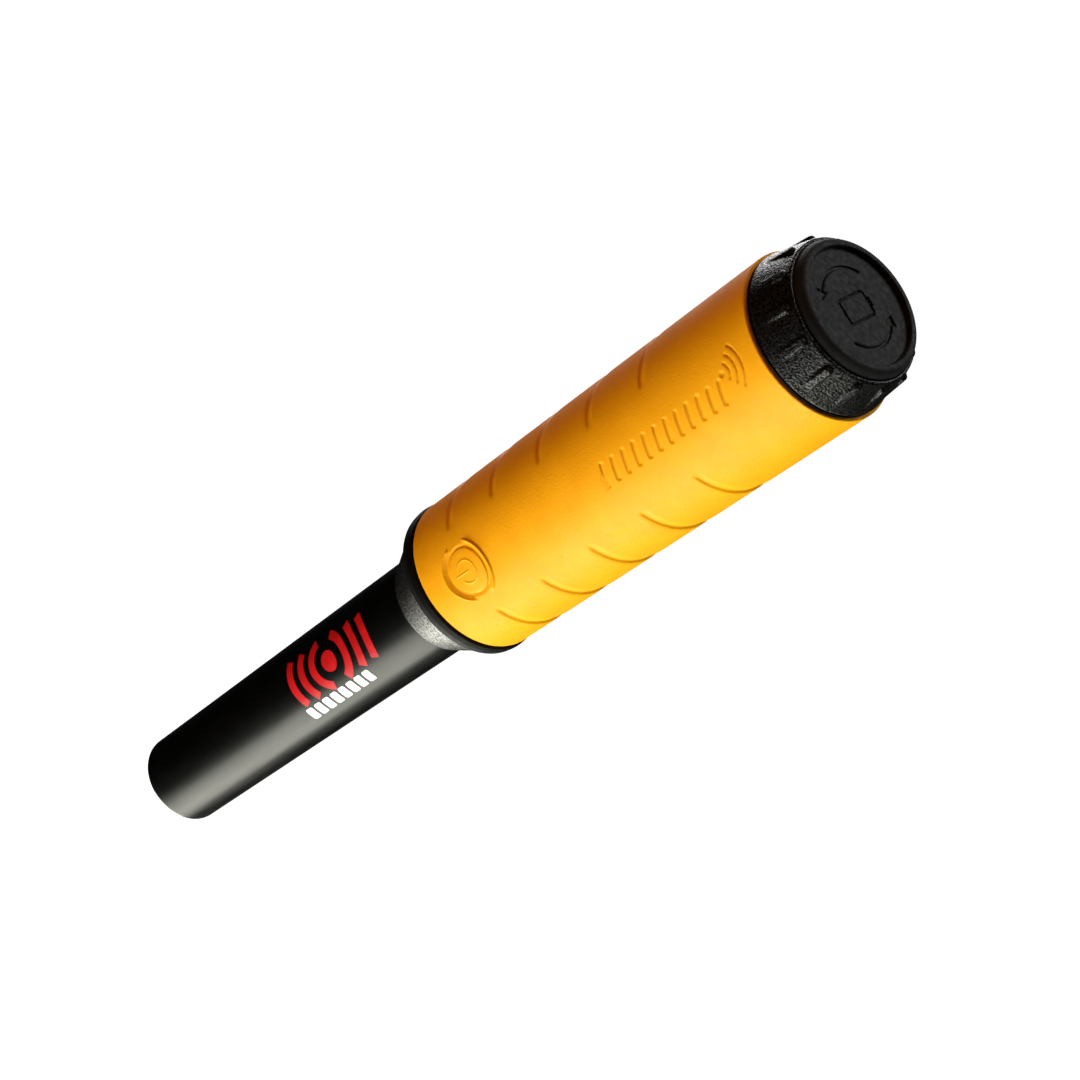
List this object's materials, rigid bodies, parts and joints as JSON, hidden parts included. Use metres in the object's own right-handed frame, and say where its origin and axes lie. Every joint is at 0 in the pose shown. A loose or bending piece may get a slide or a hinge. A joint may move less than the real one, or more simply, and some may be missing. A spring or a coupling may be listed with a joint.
{
  "type": "pinpointer probe",
  "caption": "Hand-held metal pinpointer: slim black sensing tube, tapered yellow grip with power button, and ribbed screw-on battery cap with rubber end pad.",
  "frame": {"origin": "on the axis, in the middle of the collar's rim band, where a holster ring seats", "axes": "+Z along the axis from the sensing tip to the battery cap; -Y is the side with the power button; +X completes the right-handed frame"},
  "size_m": [0.0408, 0.0408, 0.2533],
  "materials": {
    "tube_black": "smooth satin black moulded nylon",
    "foam": "closed-cell foam",
    "ferrite": "fired ferrite, dark grey, slightly speckled",
    "pale_plastic": "natural moulded plastic",
    "copper": "enamelled copper wire, wound in layers",
    "lead_sheath": "thin red wire sheath",
    "textured_black": "spark-eroded grain, dry black",
    "seal_rubber": "smooth black seal rubber",
    "inner_black": "plain black moulding",
    "grip_yellow": "satin warm yellow over-moulding",
    "button_yellow": "satin warm yellow elastomer",
    "chip_black": "moulded chip package",
    "board_green": "green solder mask",
    "can_metal": "drawn metal can",
    "screw_steel": "plain steel",
    "brass": "rolled brass disc",
    "tungsten": "sintered heavy metal",
    "battery_jacket": "painted steel jacket",
    "pad_rubber": "matt dark grey elastomer",
    "cell_metal": "plain metal cell sleeve"
  },
  "bodies": {
    "housing": {"probe_tube": "tube_black", "tip_cushion": "foam", "ferrite_rod": "ferrite", "coil_former": "pale_plastic", "transmit_coil": "copper", "receive_coils": "copper", "rod_support": "pale_plastic", "coil_leads": "lead_sheath", "tube_collar": "textured_black", "tube_seal": "seal_rubber", "handle_core": "inner_black", "neck_thread": "inner_black", "grip_sleeve": "grip_yellow", "button_seal": "seal_rubber", "switch_body": "chip_black", "circuit_board": "board_green", "microcontroller": "chip_black", "signal_chips": "chip_black", "capacitors": "can_metal", "crystal": "can_metal", "board_carrier": "inner_black", "board_screws": "screw_steel", "buzzer_case": "inner_black", "buzzer_disc": "brass", "vibration_motor": "can_metal", "motor_clip": "inner_black", "battery_bulkhead": "inner_black", "battery_case": "battery_jacket", "battery_cells": "cell_metal", "battery_terminals": "can_metal", "snap_connector": "inner_black", "snap_contacts": "can_metal", "battery_leads": "lead_sheath"},
    "button": {"power_button": "button_yellow"},
    "switch_plunger": {"switch_stem": "pale_plastic"},
    "motor_rotor": {"motor_shaft": "screw_steel", "motor_weight": "tungsten"},
    "cap_follower": {"thrust_plate": "inner_black", "battery_cushion": "foam"},
    "cap": {"cap_ring": "textured_black", "cap_thread": "inner_black", "cap_seal": "seal_rubber", "cap_pad": "pad_rubber"}
  },
  "joints": [
    {"name": "button_press", "type": "slide", "parent": "housing", "child": "button", "axis": [0, 1, 0], "range_m": [0, 0.0006], "stiffness_N_per_m": 2500, "springref_m": -0.0004},
    {"name": "switch_press", "type": "slide", "parent": "housing", "child": "switch_plunger", "axis": [0, 1, 0], "range_m": [0, 0.0006]},
    {"name": "motor_spin", "type": "hinge", "parent": "housing", "child": "motor_rotor", "pos_m": [0, 0.007, 0.047], "axis": [0, 0, 1], "continuous": true},
    {"name": "cap_lift", "type": "slide", "parent": "housing", "child": "cap_follower", "axis": [0, 0, 1], "range_m": [0, 0.006]},
    {"name": "cap_turn", "type": "hinge", "parent": "cap_follower", "child": "cap", "pos_m": [0, 0, 0.1225], "axis": [0, 0, 1], "range_deg": [0, 720]}
  ],
  "couplings": [
    {"joint": "switch_press", "follows": "button_press", "ratio": 1},
    {"joint": "cap_lift", "follows": "cap_turn", "m_per_rad": 0.00047746}
  ]
}
